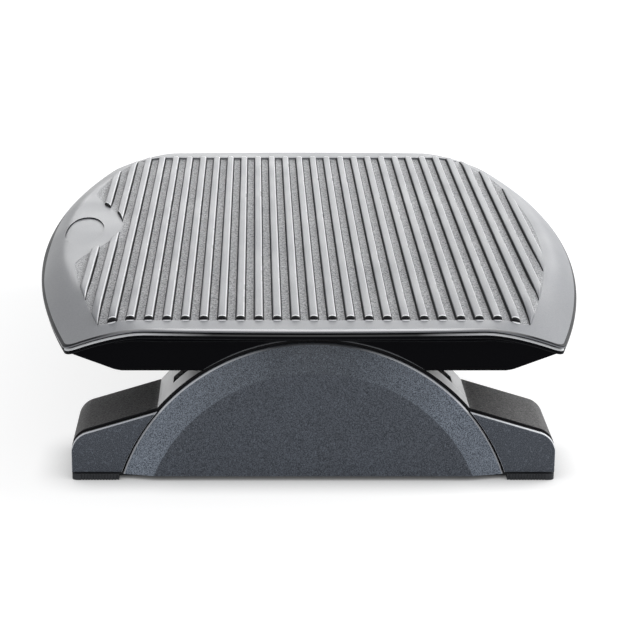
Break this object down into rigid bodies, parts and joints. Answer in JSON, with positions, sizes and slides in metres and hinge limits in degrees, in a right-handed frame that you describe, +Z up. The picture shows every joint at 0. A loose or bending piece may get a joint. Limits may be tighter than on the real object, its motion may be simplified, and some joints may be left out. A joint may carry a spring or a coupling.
{
  "type": "tilting under desk footrest",
  "caption": "Under desk footrest with a ribbed platform that rocks on two arched end supports with sloping wings and rubber floor pads.",
  "frame": {"origin": "on the floor, under the middle of the footrest", "axes": "+Y along the tilt axis, which is the long way of the platform, from the near end to the far end; +X across the platform; +Z up"},
  "size_m": [0.3294, 0.45, 0.0911],
  "materials": {
    "deck_grey": "satin moulded plastic with a fine grain",
    "base_slate": "speckled moulded plastic with a fine grain",
    "black_plastic": "plain moulded plastic",
    "rubber": "matte",
    "glide": "smooth low friction plastic",
    "steel": "zinc plated"
  },
  "bodies": {
    "base": {"near_support": "base_slate", "far_support": "base_slate", "near_left_wing_cover": "base_slate", "near_right_wing_cover": "base_slate", "far_left_wing_cover": "base_slate", "far_right_wing_cover": "base_slate", "near_end_cap": "base_slate", "far_end_cap": "base_slate", "spine": "base_slate", "near_spine_screw_1": "steel", "far_spine_screw_1": "steel", "near_spine_screw_2": "steel", "far_spine_screw_2": "steel", "near_left_floor_pad": "rubber", "near_right_floor_pad": "rubber", "far_left_floor_pad": "rubber", "far_right_floor_pad": "rubber"},
    "platform": {"deck": "deck_grey", "tray": "black_plastic", "near_left_stop": "rubber", "near_right_stop": "rubber", "far_left_stop": "rubber", "far_right_stop": "rubber", "near_saddle": "black_plastic", "far_saddle": "black_plastic", "near_outer_glide_strip": "glide", "near_inner_glide_strip": "glide", "far_outer_glide_strip": "glide", "far_inner_glide_strip": "glide", "near_left_hook": "black_plastic", "near_right_hook": "black_plastic", "far_left_hook": "black_plastic", "far_right_hook": "black_plastic", "near_hook_screw_1": "steel", "near_hook_screw_2": "steel", "near_hook_screw_3": "steel", "near_hook_screw_4": "steel", "far_hook_screw_1": "steel", "far_hook_screw_2": "steel", "far_hook_screw_3": "steel", "far_hook_screw_4": "steel", "deck_screw_1": "steel", "deck_screw_2": "steel", "deck_screw_3": "steel", "deck_screw_4": "steel", "deck_screw_5": "steel", "deck_screw_6": "steel", "deck_screw_7": "steel", "deck_screw_8": "steel", "saddle_screw_1": "steel", "saddle_screw_2": "steel", "saddle_screw_3": "steel", "saddle_screw_4": "steel", "saddle_screw_5": "steel", "saddle_screw_6": "steel", "saddle_screw_7": "steel", "saddle_screw_8": "steel"}
  },
  "joints": [
    {"name": "platform_tilt", "type": "hinge", "parent": "base", "child": "platform", "pos_m": [0, 0, -0.0326], "axis": [0, 1, 0], "range_deg": [-17, 17]}
  ]
}
